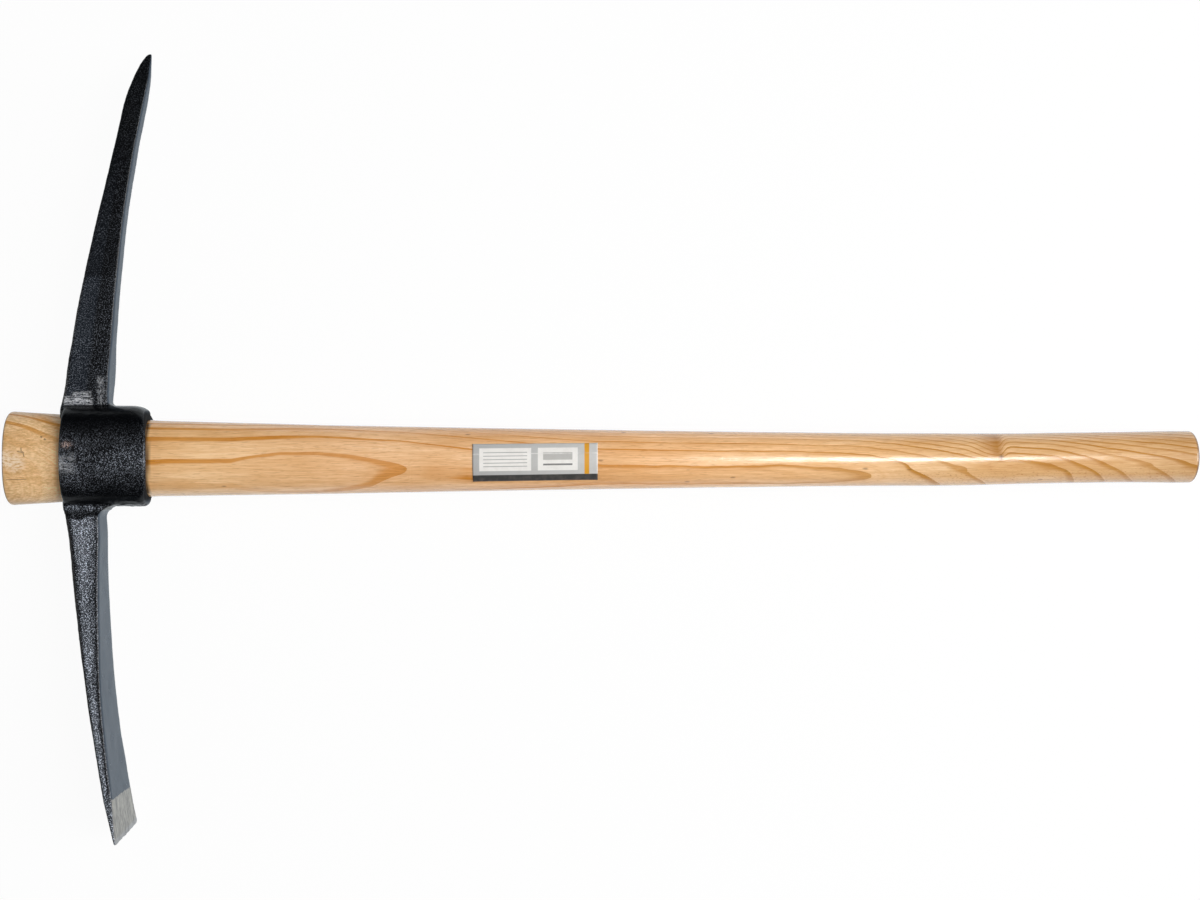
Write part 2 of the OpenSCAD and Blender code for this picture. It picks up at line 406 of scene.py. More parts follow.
# How far the outermost layer lies over the handle's skin along its length
GRAIN_LEVELS = (
    (0, -15.0), (60, -4.5), (105, -0.8), (172, -1.05), (209, -2.8), (236, -2.9), (258, -2.2),
    (282, -0.85), (304, 0.0), (311, 5.7), (322, 6.4), (336, 6.7), (350, 6.9), (375, 6.4), (450, 6.0),
    (585, 5.8), (626, 6.5), (639, 7.0), (647, 7.35), (653, 7.75), (660, 8.8), (676, 9.8), (699, 14.5),
)
# On the pick's side of the turn it rises evenly past the first tongue
UPPER_LEVELS = ((300, 0.0), (450, 6.0))
# Height, size and seed of the layers' wavering
WAVERS = ((0.8, (70.0, 16.0, 16.0), 21.0), (0.45, (24.0, 9.0, 9.0), 33.0), (0.2, (9.0, 4.0, 4.0), 37.0))
# Along the grip the layers follow the skin for so many degrees round a line on the chisel's side,
# and a ring ends there in each steep hook: its place, and the depth of its ring
GRIP_START, GRIP_FULL = 655.0, 692.0
HOOK_LINE, HOOK_HALF = 75.0, 45.0
HOOKS = ((695.0, 14.5), (730.0, 19.7), (804.5, 24.6), (826.0, 28.2), (845.5, 31.8), (875.0, 35.4))
HOOK_RUN, HOOK_STEP = 9.0, 2.6
HOOK_PAST, HOOK_OVER = 3.0, 0.8
# Place and depth before the first hook, and the step past the last one
HOOK_FIRST, HOOK_LAST = (650.0, 9.0), 2.0
# Their places are read this far on the chisel's side
HOOK_SIDE = 13.0
# How far the hooks lean towards the butt for each step round the handle
HOOK_SLANTS = ((690, 1.6), (735, 2.0), (775, 1.6), (800, 0.7), (826, 1.2), (845, 1.4), (875, 1.5))
# How far the outermost layer lies over the skin on the rest of the grip
GRIP_LEVELS = (
    (650, 9.5), (680, 13.8), (715, 19.0), (789, 24.0), (811, 27.5), (830, 31.0), (860, 34.8), (900, 39.5),
)
# Depths of the first growth rings under that layer, and the even spacing of those that follow
RING_DEPTHS = (-40, -31, -22, -14.5, -7.5, 0.0, 7.7, 14.5, 19.7, 24.6, 28.2)
RING_SPACING, RING_COUNT = 3.6, 40
# The knot, how deep the rings dip there, and over which lengths on the head's and the butt's side
KNOT_X, KNOT_DIP = 748.0, 8.0
KNOT_SLOPE, KNOT_STEEP = 17.0, 5.0
# Depth of the dark late wood in each ring, and how much more the neck's upper line has
LATE_DEPTHS = (
    (0, 0.75), (150, 0.76), (180, 0.8), (215, 1.2), (260, 1.2), (304, 0.9), (420, 1.25),
    (640, 1.3), (700, 1.8), (900, 1.8),
)
NECK_LINE_LATE = 2.4
# Tone of the wood along the handle, paler near the head and darker where it is held, with painted light:
# much paler just before the eye, where the head shades the wood, and darker towards the very head end,
# which the left lamp lights most
WOOD_TONES_AND_LIGHT = (
    (0, 1.07), (20, 1.14), (34, 1.2), (42, 1.45), (50, 1.2), (120, 1.22), (220, 1.16), (330, 1.12),
    (450, 1.12), (480, 1.19), (600, 1.15), (716, 1.0), (848, 0.93), (892, 0.82),
)
# Scratches and dents on the upper side of the head end: start, end and half width
SCRATCHES = (
    ((12.4, 5.1), (16.8, 4.4), 0.6),
    ((14.9, 7.6), (15.3, 4.4), 0.6),
    ((16.2, 5.1), (17.2, 1.6), 0.6),
    ((3.4, -16.0), (18.4, -15.6), 0.34),
    ((29.0, 16.3), (29.6, 16.0), 0.8),
    ((31.7, 14.5), (32.3, 14.2), 0.8),
    ((6.6, -4.4), (7.2, -4.5), 0.8),
)
# The pale scuff beside its edge, partly a painted highlight
SCUFF_AND_HIGHLIGHT = ((4.0, -1.0), (11.0, -4.0), 8.5)


def build_handle():
    body = np.linspace(FLARE_ROUND, HANDLE_L - BUTT_ROUND, HANDLE_STATIONS)
    stations = np.concatenate([
        edge_depths(FLARE_ROUND, 8)[:-1],
        body,
        (HANDLE_L - edge_depths(BUTT_ROUND, 6)[:-1])[::-1],
    ])
    edge = drawn_in(stations, FLARE_ROUND) + drawn_in(HANDLE_L - stations, BUTT_ROUND)
    wide = half_w(stations) + swell(stations) - edge
    deep = half_d(stations) + swell(stations) - edge

    def ring(x, w, d):
        square = blend(FLARE_SQUARE, 2.0, rise(x, 12.0, 38.0))
        return oval(x, w, w, d, square, HANDLE_SIDES)

    rings = [ring(x, w, d) for x, w, d in zip(stations, wide, deep)]
    head_end = [ring(0.0, wide[0] * s, deep[0] * s) for s in reversed(END_RINGS)]
    butt_end = [ring(HANDLE_L, wide[-1] * s, deep[-1] * s) for s in END_RINGS]
    points, faces = loft(head_end + rings + butt_end)

    # Shaved wood is never quite true
    outward = points * np.array([0.0, 1.0, 1.0])
    outward /= np.linalg.norm(outward, axis=1, keepdims=True)
    fade = window(points[:, 0], 112.0, 130.0, 880.0, 895.0)
    waves = wavy(points, (55.0, 9.0, 9.0), 3.0) + 0.5 * wavy(points, (19.0, 6.0, 6.0), 11.0)
    dressed = points + outward * (SHAVING_HEIGHT * fade * waves)[:, None]
    dressed[:, 1] += bow(points[:, 0])

    piece = make_object("wooden_handle", to_row(dressed), faces)
    smooth_shade(piece.data)
    paint_grain(piece.data, points)
    paint_marks(piece.data, points)
    return piece


def from_axis(points):
    """0 at the handle's axis and 1 at its skin."""
    x, y, z = points.T
    return np.hypot(y / half_w(x), z / half_d(x))


def from_hooks(points):
    """How far round the handle each point lies from the line of the hooks, in radians."""
    x, y, z = points.T
    around = np.arctan2(-y / half_w(x), z / half_d(x)) - math.radians(HOOK_LINE)
    return np.abs(np.angle(np.exp(1j * around)))


def hook_share(points):
    """1 on the chisel's side of the grip, where the rings end in hooks."""
    half = math.radians(HOOK_HALF)
    return fall(from_hooks(points), 0.82 * half, 1.4 * half)


def grip_depth(points):
    """How deep each point of the grip lies under the outermost layer of the grain."""
    x, y, _ = points.T
    steps = [HOOK_FIRST]
    for place, depth in HOOKS:
        steps += [(place - HOOK_RUN, depth - HOOK_STEP), (place + HOOK_PAST, depth + HOOK_OVER)]
    steps += [(HANDLE_L, HOOKS[-1][1] + HOOK_LAST)]
    slant = read_table(x, HOOK_SLANTS)
    hooked = read_table(x + slant * (y + HOOK_SIDE), steps)
    plain = read_table(x, GRIP_LEVELS)
    past = np.maximum(0.0, from_hooks(points) - math.radians(HOOK_HALF))
    skin = GRIP_D / 2 * from_axis(points)
    return GRIP_D / 2 - skin * np.cos(past) + blend(plain, hooked, hook_share(points))


def grain_depth(points):
    """How deep each point lies under the outermost layer of the grain."""
    x, y, z = points.T
    wide, deep = half_w(x), half_d(x)
    turn = np.radians(read_table(x, GRAIN_TURNS))
    skin = np.hypot(wide * np.sin(turn), deep * np.cos(turn))
    crest = np.arctan2(wide * np.sin(turn), deep * np.cos(turn))
    around = np.arctan2(y / wide, z / deep) - crest
    around = np.angle(np.exp(1j * around))
    around = np.where(around < 0, around * read_table(x, GRAIN_WRAP), around)
    height = skin * from_axis(points) * np.cos(around)
    level = read_table(x, GRAIN_LEVELS)
    past_tongue = (x > UPPER_LEVELS[0][0]) & (x < UPPER_LEVELS[-1][0])
    away = np.maximum(rise(around, 0.12, 0.3), rise(-around, 0.18, 0.55))
    level = np.where(past_tongue, blend(level, read_table(x, UPPER_LEVELS), away), level)
    depth = skin - height + level
    depth = blend(depth, grip_depth(points), rise(x, GRIP_START, GRIP_FULL))
    # The layers waver more towards the grip, but hardly where they end in hooks
    waver = blend(0.25, 1.0, rise(x, 380.0, 640.0))
    waver *= 1.0 - 0.75 * rise(x, 560.0, 620.0) * hook_share(points)
    for swing, size, seed in WAVERS:
        depth += waver * swing * wavy(points, size, seed)
    knot = bell(x, KNOT_X, np.where(x < KNOT_X, KNOT_SLOPE, KNOT_STEEP))
    return depth + KNOT_DIP * knot * rise(y, -5.0, 7.0) * rise(z, -2.0, 8.0)


def paint_grain(mesh, points):
    """Keeps the growth rings, the late wood in them and the wood's tone."""
    x, y, _ = points.T
    depth = grain_depth(points)
    deeper = [RING_DEPTHS[-1] + RING_SPACING * (i + 1) for i in range(RING_COUNT)]
    depths = np.array(list(RING_DEPTHS) + deeper)
    gaps = np.diff(depths)
    rings = np.interp(depth, depths, np.arange(len(depths)))
    ring_gap = gaps[np.clip(rings.astype(int), 0, len(gaps) - 1)]
    paint(mesh, "rings", rings)
    paint(mesh, "ring_gap", ring_gap)
    paint(mesh, "grain_depth", depth)

    # The late wood is thickest in the wide rings, where a ring turns down into its hook, and on the
    # neck's upper line up to the first tongue
    hooks = rise(x, 640.0, GRIP_FULL) * hook_share(points)
    on_grip = rise(x, GRIP_START, GRIP_FULL)
    turn_down = 4.0 * hooks * (1.0 - hooks) * on_grip
    width = blend(1.0, (ring_gap / RING_SPACING) ** 0.7, on_grip * hooks)
    neck_line = rise(y, 3.0, 12.0) * (1.0 - 0.8 * rise(x, 170.0, 250.0)) * fall(x, 250.0, 330.0)
    late = read_table(x, LATE_DEPTHS) * (1.0 + NECK_LINE_LATE * neck_line)
    paint(mesh, "late_depth", late * width * (1.0 + 0.15 * hooks + 0.4 * turn_down))
    paint(mesh, "short_pores", hooks)
    # The wood's tone, with painted light just before the eye and painted shade at the head end
    paint(mesh, "wood_tone_and_light", read_table(x, WOOD_TONES_AND_LIGHT))

    # The rings hardly show under the tongue and on the rough head end, apart from its upper edge
    head_end = fall(x, 44.0, 100.0)
    share_left = 1.0 - 0.7 * head_end * fall(y, 12.0, 22.0)
    under_tongue = fall(x, 190.0, 240.0) * fall(y, -16.0, -8.0)
    paint(mesh, "ring_share", share_left * (1.0 - 0.6 * under_tongue))


def paint_marks(mesh, points):
    """Keeps the sawn ends, the knot, a stain, and a dark line of painted shade where the eye's mouth meets
    the wood, which also reads as rubbed paint.
    """
    x, y, z = points.T
    paint(mesh, "rough_end", fall(x, 40.0, 46.0))
    rim = rise(from_axis(points), 0.88, 0.95)
    ends = 1.0 - rise(x, 0.4, 1.8) + rise(x, HANDLE_L - 2.6, HANDLE_L - 1.4)
    paint(mesh, "cut_edge", ends * rim)
    paint(mesh, "end_face", ends * (1.0 - rim))

    top = rise(z, 0.0, 4.0)
    streak = bell(x, KNOT_X + 0.1 * (y - 8.0), 4.0) * rise(y, -2.0, 5.0)
    heart = bell(x, KNOT_X - 6.0, 7.0) * rise(y, 2.0, 9.0)
    crack = bell(x, KNOT_X + 2.5 + 0.35 * (y - 2.0), 0.9) * window(y, -2.5, -0.5, 3.0, 5.0)
    paint(mesh, "knot", (0.72 * streak + 0.6 * heart) * top)
    paint(mesh, "crack", crack * top)

    stain = bell(y, 34.5 - 0.55 * (x - 20.0), 2.0) * window(x, 12.0, 20.0, 44.0, 48.0)
    paint(mesh, "stain", 0.7 * stain * rise(z, -4.0, 2.0))
    # A dark line of painted shade on the wood at the eye's mouth, where the head's rim shades it
    mouth = EYE_END + EYE_LEAN * rise(z, 4.0, 14.0) - MOUTH_BOW * (y / 37.0) ** 2
    paint(mesh, "line_mark", window(x, mouth - 4.0, mouth - 3.0, mouth - 0.3, mouth + 0.9))


# Factors that darken and lighten the wood along its fibres, on the shaft and on the head end
SHAFT_DARK, SHAFT_PALE = (0.9, 0.82, 0.7, 1.0), (1.1, 1.13, 1.18, 1.0)
END_DARK, END_PALE = (0.86, 0.82, 0.68, 1.0), (1.13, 1.2, 1.27, 1.0)
BROAD_DARK, BROAD_PALE = (0.96, 0.92, 0.86, 1.0), (1.05, 1.07, 1.1, 1.0)
YELLOWER = (1.0, 1.05, 1.04, 1.0)


def late_wood(g, x, fibre):
    """Growth rings: a band of late wood of even depth ends sharply at each ring."""
    rings = g.number("rings")
    left = g.maths("SUBTRACT", 1.0, g.maths("FRACT", rings))
    depth = g.times(left, g.number("ring_gap"))
    depth = g.scaled(fibre, 0.34, g.maths("SUBTRACT", depth, 0.17))
    thick = g.number("late_depth")
    sharp = g.span(x, 260.0, 420.0, 0.6, 0.2)
    band = g.span(depth, thick, g.times(thick, sharp), smooth=True)
    shade_share = g.span(x, 260.0, 420.0, 0.16, 0.3)
    shade = g.span(depth, g.times(thick, 3.0), g.times(thick, 0.6), 0.0, shade_share)
    late = g.most(band, shade)

    # Some rings are stronger than others, and come and go along the handle
    ring_place = g.flat_place(x, 0.006, g.maths("FLOOR", rings), 3.7)
    strength = g.span(g.noise(ring_place, 1.0, 1.0), 0.35, 0.6, 0.68, 1.0)
    late = g.times(late, strength, g.number("ring_share"))
    return g.most(late, g.number("stain"))


def grown_wood(g, place, x, fibre):
    """Pale wood with slow changes of tone, faint lines that follow the layers, rings and a knot."""
    tone = g.span(g.stretched(place, (0.012, 0.05, 0.05)), 0.3, 0.7)
    pale = g.mix(tone, srgb(225, 177, 127), srgb(240, 199, 156))
    layer_place = g.flat_place(g.number("grain_depth"), 1.3, x, 0.01)
    layer_share = g.scaled(g.number("rough_end"), 0.35, 0.3)
    layer = g.span(g.noise(layer_place, 1.0, 2.0, 0.6), 0.4, 0.75, 0.0, layer_share)
    wood = g.mix(layer, pale, srgb(212, 155, 98))
    late_colour = g.mix(g.span(x, 420.0, 620.0), srgb(200, 130, 44), srgb(188, 130, 60))
    wood = g.mix(late_wood(g, x, fibre), wood, late_colour)
    knot = g.times(g.number("knot"), g.span(fibre, 0.3, 0.6, 0.6, 1.0))
    wood = g.mix(knot, wood, srgb(176, 120, 60))
    return g.mix(g.times(g.number("crack"), 0.8), wood, srgb(84, 54, 34))


def toned_wood(g, place, x, fuzz, wood):
    """Fine fibres run with the grain, and the head end is fuzzy."""
    rough_end = g.number("rough_end")
    streak = g.span(g.stretched(place, (0.05, 2.2, 2.2), 2.0, 0.6), 0.32, 0.68)
    fine_dark = g.mix(rough_end, SHAFT_DARK, END_DARK)
    fine_pale = g.mix(rough_end, SHAFT_PALE, END_PALE)
    fine = g.mix(g.mix(rough_end, streak, fuzz), fine_dark, fine_pale)
    broad_share = g.span(g.stretched(place, (0.016, 0.4, 0.4)), 0.32, 0.68)
    broad = g.mix(broad_share, BROAD_DARK, BROAD_PALE)
    # The grip and the neck are a little yellower
    both_ends = g.most(g.span(x, 480.0, 720.0), g.span(x, 260.0, 150.0))
    yellow = g.mix(both_ends, WHITE, YELLOWER)
    for factor in (fine, broad, yellow):
        wood = g.mix(1.0, wood, factor, "MULTIPLY")
    # Scaled by the wood's tone and its painted light
    return g.vector("SCALE", wood, g.number("wood_tone_and_light"))


def marked_wood(g, place, fuzz, wood):
    """Sawn ends, rubbed paint and painted shade at the eye's mouth, a scratched and scuffed head end with a
    painted highlight, and a few dark flecks.
    """
    plain_marks = (
        ("end_face", 0.3, srgb(150, 104, 62)),
        ("cut_edge", 0.85, srgb(92, 66, 42)),
        # Painted shade at the eye's mouth, in the tone of rubbed black paint
        ("line_mark", 0.9, srgb(24, 20, 18)),
    )
    for name, strength, tint in plain_marks:
        wood = g.mix(g.times(g.number(name), strength), wood, tint)

    marks = 0.0
    for scratch in SCRATCHES:
        marks = g.most(marks, g.stroke(place, *scratch))
    upper = g.span(g.node("SeparateXYZ", {"Vector": place}).outputs[2], 0.0, 5.0)
    wood = g.mix(g.times(marks, upper, 0.72), wood, srgb(120, 66, 22))
    # A pale scuff, partly a painted highlight
    scuff_and_highlight = g.times(g.stroke(place, *SCUFF_AND_HIGHLIGHT), g.span(fuzz, 0.0, 0.8))
    wood = g.mix(g.times(scuff_and_highlight, upper, 0.85), wood, srgb(255, 232, 204))

    fleck_place = g.vector("MULTIPLY", place, (0.06, 0.16, 0.16))
    cell = g.node("TexVoronoi", {"Vector": fleck_place, "Scale": 1.0, "Randomness": 1.0})
    lot = g.node("SeparateColor", {"Color": cell.outputs["Color"]}).outputs[0]
    fleck = g.times(g.span(cell.outputs["Distance"], 0.16, 0.07), g.span(lot, 0.8, 0.84))
    return g.mix(g.times(fleck, 0.5), wood, srgb(104, 66, 36))


def wood_material():
    material, g = new_material("varnished_ash")
    place = g.tool_place()
    x = g.node("SeparateXYZ", {"Vector": place}).outputs[0]
    fibre = g.stretched(place, (0.02, 0.8, 0.8), 3.0, 0.6)
    fuzz = g.span(g.stretched(place, (0.32, 0.85, 0.85), 3.0, 0.7), 0.38, 0.62)
    wood = toned_wood(g, place, x, fuzz, grown_wood(g, place, x, fibre))

    # Pores are long on the shaft and short where the rings end in hooks
    short_pores = g.number("short_pores")
    long_pore = g.stretched(place, (0.13, 1.7, 1.7), 1.0)
    short_pore = g.stretched(place, (0.5, 1.3, 1.3), 1.0)
    pore = g.span(g.mix(short_pores, long_pore, short_pore), 0.58, 0.68)
    pore_share = g.scaled(short_pores, 0.2, 0.32)
    wood = g.mix(g.times(pore, pore_share), wood, srgb(172, 108, 44))
    wood = marked_wood(g, place, fuzz, wood)

    # Varnish with soft ripples, matte on the sawn ends and the head end
    gloss = g.span(g.stretched(place, (0.05, 0.3, 0.3), 4.0, 0.65), 0.3, 0.7, 0.1, 0.3)
    sawn = g.times(g.most(g.number("cut_edge"), g.number("end_face")), 0.8)
    matte = g.most(g.times(g.number("rough_end"), 0.55), sawn)
    height = g.scaled(pore, -0.3, g.times(fibre, 0.6))
    ripple = g.stretched(place, (0.12, 0.5, 0.5), 3.0, 0.65)
    g.surface({
        "Base Color": wood,
        "Roughness": g.most(gloss, matte),
        "Specular IOR Level": 0.5,
        "Coat Weight": 0.6,
        "Coat Roughness": 0.1,
        "Normal": g.bump(height, 0.12, 0.5),
        "Coat Normal": g.bump(ripple, 0.3, 0.7),
    })
    return material


# The forged head

# Where the pick's rough paint and its painted glints end and the chisel's ground face starts, and the width
# of its honed band, painted lighter as the bevel's sheen
PICK_GLINT_END = (137.0, 139.5)
GROUND_RUN, PAINT_LINE, HONED_SHEEN_W = (255.0, 258.0), 255.8, 4.8
# How far the hammer left the arms off their drawn lines
PICK_OFF_ROOT, PICK_OFF_TIP, CHISEL_OFF = 0.4, 0.5, 0.9
# How fast the arms thin and the blade spreads
PICK_POINT_POWER, CHISEL_THIN_POWER, CHISEL_SPREAD_POWER = 1.6, 1.42, 1.15
SEAT_HALF_W = float(half_w(EYE_START)) + SEAT_GAP
SEAT_HALF_D = float(half_d(EYE_START)) + SEAT_GAP
COLLAR_UP = SEAT_HALF_W + PICK_WALL
COLLAR_DOWN = SEAT_HALF_W + CHISEL_WALL
COLLAR_SIDE = SEAT_HALF_D + CHEEK_WALL
MOUTH_HALF_W = float(half_w(EYE_END)) + MOUTH_GAP
MOUTH_HALF_D = float(half_d(EYE_END)) + MOUTH_GAP
CROWN = min(CROWN_H, COLLAR_UP - MOUTH_HALF_W - LEAST_RIM)
RIM = min(MOUTH_RIM, COLLAR_DOWN - MOUTH_HALF_W - LEAST_RIM)
SIDE_RIM = min(CHEEK_RIM, COLLAR_SIDE - MOUTH_HALF_D - LEAST_RIM)


def collar_ring(x):
    seat = drawn_in(x - EYE_START, SEAT_RIM)
    up = COLLAR_UP - seat - rounded(EYE_END - x, CROWN, CROWN_L)
    down = COLLAR_DOWN - seat - drawn_in(EYE_END - x, RIM)
    side = COLLAR_SIDE - seat - drawn_in(EYE_END - x, SIDE_RIM)
    ring = oval(x, up, down, side, EYE_SQUARE)
    # The grip's end of the eye draws back towards both arms
    along = share(x, EYE_START, EYE_END)
    ring[:, 0] -= MOUTH_BOW * along * (ring[:, 1] / COLLAR_UP) ** 2
    ring[:, 0] += EYE_LEAN * rise(ring[:, 2], 8.0, 26.0) - MOUTH_LEAN * along * rise(-ring[:, 2], 0.0, 12.0)
    return ring


def eye_ring(x):
    gap = blend(SEAT_GAP, MOUTH_GAP, (x - EYE_START) / EYE_L)
    return oval(x, half_w(x) + gap, half_w(x) + gap, half_d(x) + gap)


def arm_ring(s, outer, inner, thick, corner_steps=6):
    """A rounded rectangle square to an arm at distance s from the handle's axis."""
    most = 0.45 * min(inner - outer, thick)
    inner_r = min(EDGE_ROUND, most)
    outer_r = min(OUTER_ROUND, most)
    corners = (
        (inner - inner_r, thick / 2 - inner_r, inner_r),
        (outer + outer_r, thick / 2 - outer_r, outer_r),
        (outer + outer_r, outer_r - thick / 2, outer_r),
        (inner - inner_r, inner_r - thick / 2, inner_r),
    )
    ring = []
    for quarter, (x, z, r) in enumerate(corners):
        for step in range(corner_steps + 1):
            way = math.pi / 2 * (quarter + step / corner_steps)
            ring.append((x + r * math.cos(way), s, z + r * math.sin(way)))
    return ring


def filleted_ring(s, sides, root, fillet, face_fillet):
    """An arm's ring, fuller where its fillets run out into the eye."""
    outer, inner, thick = sides
    face_root = root * arc(min(1.0, thick / 2 / COLLAR_SIDE))
    face_fillet = rounded(s - face_root, face_fillet, fillet)
    return arm_ring(s, outer, inner + drawn_in(s - root, fillet), thick + 2 * face_fillet)


def pick_sides(s):
    """The arm's outer and inner edge and its thickness at distance s."""
    point = share(s, PICK_REACH - PICK_POINT_L, PICK_REACH)
    along = share(s, PICK_SHOULDER, PICK_REACH - PICK_POINT_L)
    body_w = blend(PICK_ROOT_W, PICK_END_W, ease(along))
    body_t = blend(PICK_ROOT_T, PICK_END_T, along) + PICK_SWELL * hump(s, PICK_SWELL_S, PICK_SWELL_L)
    wide = blend(PICK_TIP_W, body_w, arc(point) ** PICK_TIP_POWER)
    thick = blend(PICK_TIP_W, body_t, 1.0 - point ** PICK_POINT_POWER)
    curve = np.maximum(0.0, (s / PICK_REACH) ** 2 - (COLLAR_UP / PICK_REACH) ** 2)
    inner = EYE_START - PICK_PROUD + PICK_ROOT_W + PICK_DROOP * curve - PICK_TIP_SET * point ** 3
    flare = PICK_FLARE * (1.0 - share(s, COLLAR_UP, COLLAR_UP + PICK_FLARE_L)) ** 2
    inner = inner + PICK_OFF_ROOT * rise(s, 45.0, 65.0) * fall(s, 140.0, 175.0)
    inner = inner + PICK_OFF_TIP * rise(s, 225.0, 255.0) * fall(s, 285.0, 309.0)
    return inner - wide - flare, inner, thick


def chisel_sides(s):
    """The arm's outer and inner edge and its thickness at distance s."""
    ground_start = CHISEL_REACH - GROUND_L
    along = share(s, COLLAR_DOWN, ground_start)
    body_w = blend(BLADE_T, CHISEL_ROOT_W, (1.0 - along) ** CHISEL_THIN_POWER)
    wide = blend(body_w, EDGE_T, share(s, ground_start, CHISEL_REACH))
    spread = share(s, COLLAR_DOWN, CHISEL_REACH) ** CHISEL_SPREAD_POWER
    corner = arc(share(s, CHISEL_REACH - EDGE_BOW, CHISEL_REACH))
    thick = blend(CHISEL_ROOT_T, blend(EDGE_FLAT, BLADE_W, corner), spread)
    inner = (EYE_START - CHISEL_PROUD + CHISEL_ROOT_W
             + CHISEL_DROOP * share(s, CHISEL_BEND, CHISEL_REACH) ** 2
             - 0.5 * (body_w - wide)
             + CHISEL_OFF * rise(s, 42.0, 62.0) * fall(s, 125.0, 185.0))
    return inner - wide, inner, thick


def edge_lower(points):
    """0 at the cutting edge's upper corner and 1 at its lower corner."""
    return share(-points[:, 2], -BLADE_W / 2, BLADE_W / 2)


def edge_back(lower):
    """How far the cutting edge stands back towards the handle."""
    belly = EDGE_BELLY * (1.0 - (2.0 * lower - 1.0) ** 2)
    return EDGE_SKEW * lower - EDGE_OUT - belly


def ground_askew(ring):
    """Moves the cutting edge's lower corner back, and its middle out."""
    near_edge = share(-ring[:, 1], CHISEL_REACH - GROUND_L, CHISEL_REACH)
    lower = edge_lower(ring)
    ring[:, 0] += near_edge * (EDGE_SET + EDGE_TWIST * lower)
    ring[:, 1] += near_edge * edge_back(lower)
    return ring


def arm_stations(root, fillet, end_start, reach):
    tip_turns = np.linspace(0.0, math.pi / 2, 25)[1:]
    return np.concatenate([
        [NECK_W / 4, root - fillet],
        root + edge_depths(fillet, 8),
        np.linspace(root + fillet, end_start, 60)[1:],
        blend(end_start, reach, np.sin(tip_turns)),
    ])


VOXEL = 0.95


def forge_blank():
    """The eye and both arms as one skin of even small faces, with the eye's hole cut through."""
    collar_stations = np.concatenate([
        EYE_START + edge_depths(SEAT_RIM, 5),
        (EYE_END - edge_depths(max(CROWN_L, RIM), 16))[::-1],
    ])
    pick_stations = arm_stations(COLLAR_UP, PICK_FILLET, PICK_REACH - PICK_POINT_L, PICK_REACH)
    chisel_stations = arm_stations(COLLAR_DOWN, CHISEL_FILLET, CHISEL_REACH - GROUND_L, CHISEL_REACH)
    pick = [filleted_ring(s, pick_sides(s), COLLAR_UP, PICK_FILLET, PICK_FILLET) for s in pick_stations]
    chisel = [
        filleted_ring(s, chisel_sides(s), COLLAR_DOWN, CHISEL_FILLET, CHISEL_FILLET / 2)
        for s in chisel_stations
    ]
    down = np.array([1.0, -1.0, 1.0])
    mouth_plug = oval(EYE_END - MOUTH_BOW, MOUTH_HALF_W / 2, MOUTH_HALF_W / 2, MOUTH_HALF_D / 2)
    skins = {
        "collar": loft([collar_ring(x) for x in collar_stations] + [mouth_plug]),
        "pick": loft(pick),
        "chisel": loft([ground_askew(np.array(ring)[::-1] * down) for ring in chisel]),
        "eye": loft([eye_ring(x) for x in (EYE_START - 6.0, NECK_X)]),
    }
    made = {name: make_object(name, to_row(points), faces) for name, (points, faces) in skins.items()}
    blank = made["collar"]
    for name, operation in (("pick", "UNION"), ("chisel", "UNION"), ("eye", "DIFFERENCE")):
        join = blank.modifiers.new(name, "BOOLEAN")
        set_all(join, operation=operation, object=made[name], solver="EXACT")
    set_all(blank.modifiers.new("skin", "REMESH"), mode="VOXEL", voxel_size=VOXEL * MM)
    set_all(blank.modifiers.new("soften", "SMOOTH"), factor=0.5, iterations=3)
    graph = bpy.context.evaluated_depsgraph_get()
    mesh = bpy.data.meshes.new_from_object(blank.evaluated_get(graph))
    for part in made.values():
        data = part.data
        bpy.data.objects.remove(part)
        bpy.data.meshes.remove(data)
    return mesh


def head_zones(points, normals):
    """Where each kind of surface of the head lies, as shares from 0 to 1."""
    x, y, z = points.T
    bore = np.hypot(y / (half_w(x) + SEAT_GAP), z / (half_d(x) + SEAT_GAP))
    on_collar = (x > EYE_START - 2.5) & (x < EYE_END + 0.5)
    pick = rise(y, 33.0, 40.0)
    chisel = rise(-y, 30.0, 36.0)
    return {
        "s": np.abs(y),
        "pick": pick,
        "chisel": chisel,
        "eye": (1.0 - pick) * (1.0 - chisel),
        "outside": np.where(on_collar, rise(bore, 1.03, 1.1), 1.0),
        "broad": rise(np.abs(normals[:, 2]), 0.6, 0.9),
        "inner": rise(normals[:, 0], 0.55, 0.85),
    }


def bead_line(points):
    """How far from the handle's axis the rough bead at the chisel's root ends."""
    return 42.4 + 3.2 * bell(points[:, 0], 54.0, 8.0) + 1.6 * wavy(points, (5.0, 40.0, 5.0), 27.0)


